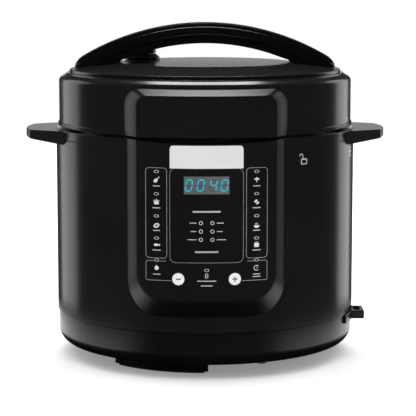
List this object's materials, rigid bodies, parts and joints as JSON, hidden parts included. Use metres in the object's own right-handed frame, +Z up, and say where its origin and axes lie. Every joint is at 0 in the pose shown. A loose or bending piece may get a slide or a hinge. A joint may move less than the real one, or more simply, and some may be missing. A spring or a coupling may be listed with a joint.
{
  "type": "electric pressure cooker",
  "caption": "Countertop electric pressure cooker with a turning lid, arched lid handle, side handles, curved control panel and removable pot.",
  "frame": {"origin": "on the surface the cooker stands on, under the centre of its bounding box, which is the axis of the round body", "axes": "+X to the right seen from the front, +Y to the rear, +Z up; the control panel faces -Y"},
  "size_m": [0.34, 0.302, 0.3152],
  "materials": {
    "black_plastic": "satin gloss",
    "base_plastic": "satin",
    "lid_plastic": "fine matt grain",
    "handle_black": "satin grain",
    "panel_film": "satin print film",
    "display_lens": "gloss smoked",
    "key_white": "satin",
    "inner_black": "matt",
    "inner_white": "matt",
    "circuit_board": "solder mask",
    "wire_insulation": "smooth",
    "clear_plastic": "frosted, translucent",
    "liner_steel": "brushed",
    "fastener_steel": "zinc plated",
    "cast_aluminium": "machined face",
    "pot_coating": "non-stick coating, speckled",
    "contact_brass": "nickel flash",
    "foot_rubber": "matt",
    "silicone": "smooth, translucent",
    "float_red": "satin"
  },
  "bodies": {
    "housing": {"outer_shell": "black_plastic", "panel_bezel": "black_plastic", "panel_overlay": "panel_film", "display_window": "display_lens", "display_module": "inner_black", "control_board": "circuit_board", "key_switches": "inner_white", "indicator_leds": "inner_white", "rim_ring": "black_plastic", "side_handle_left": "handle_black", "side_handle_right": "handle_black", "side_handle_screws": "fastener_steel", "liner": "liner_steel", "base": "base_plastic", "front_foot": "base_plastic", "right_foot": "base_plastic", "rear_foot": "base_plastic", "foot_pads": "foot_rubber", "heating_plate": "cast_aluminium", "heater_element": "fastener_steel", "plate_screws": "fastener_steel", "sensor_guide": "fastener_steel", "sensor_spring": "fastener_steel", "pressure_switch": "inner_black", "thermal_fuse": "inner_white", "power_board": "circuit_board", "wiring": "wire_insulation", "power_inlet": "handle_black", "inlet_pins": "contact_brass", "utensil_holder": "base_plastic", "cup_housing": "handle_black", "base_screws": "fastener_steel", "board_screws": "fastener_steel"},
    "minus_key": {"minus_key": "key_white"},
    "plus_key": {"plus_key": "key_white"},
    "sensor": {"temp_sensor": "cast_aluminium"},
    "cup": {"condensate_cup": "clear_plastic"},
    "pot": {"inner_pot": "pot_coating"},
    "seal": {"seal_ring": "silicone", "seal_rack": "fastener_steel"},
    "lid": {"lid_ring": "black_plastic", "lid_dome": "lid_plastic", "lid_panel": "black_plastic", "lid_handle": "handle_black", "handle_cap": "handle_black", "lid_handle_screws": "fastener_steel", "lid_plate": "liner_steel", "lid_plate_nuts": "fastener_steel", "exhaust_pipe": "fastener_steel", "valve_collar": "handle_black", "anti_block_shield": "liner_steel"},
    "steam_valve": {"steam_valve": "handle_black"},
    "float": {"float_valve": "float_red", "float_seal": "silicone"}
  },
  "joints": [
    {"name": "lid_lift", "type": "slide", "parent": "housing", "child": "seal", "axis": [0, 0, 1], "range_m": [0, 0.35]},
    {"name": "lid_turn", "type": "hinge", "parent": "seal", "child": "lid", "pos_m": [0, 0, 0.22], "axis": [0, 0, -1], "range_deg": [0, 33]},
    {"name": "pot_lift", "type": "slide", "parent": "housing", "child": "pot", "axis": [0, 0, 1], "range_m": [0, 0.162]},
    {"name": "sensor_press", "type": "slide", "parent": "housing", "child": "sensor", "axis": [0, 0, -1], "range_m": [0, 0.002], "stiffness_N_per_m": 300, "springref_m": -0.004, "deforming": ["sensor_spring"]},
    {"name": "minus_press", "type": "slide", "parent": "housing", "child": "minus_key", "axis": [0, 1, 0], "range_m": [0, 0.0008], "stiffness_N_per_m": 800, "springref_m": -0.0005},
    {"name": "plus_press", "type": "slide", "parent": "housing", "child": "plus_key", "axis": [0, 1, 0], "range_m": [0, 0.0008], "stiffness_N_per_m": 800, "springref_m": -0.0005},
    {"name": "cup_slide", "type": "slide", "parent": "housing", "child": "cup", "axis": [0, 1, 0], "range_m": [0, 0.045]},
    {"name": "valve_turn", "type": "hinge", "parent": "lid", "child": "steam_valve", "pos_m": [-0.0605, 0.038, 0.29], "axis": [0, 0, 1], "range_deg": [0, 45]},
    {"name": "float_rise", "type": "slide", "parent": "lid", "child": "float", "axis": [0, 0, 1], "range_m": [0, 0.005]}
  ],
  "couplings": [
    {"joint": "pot_lift", "follows": "lid_lift", "ratio": 0.46}
  ]
}
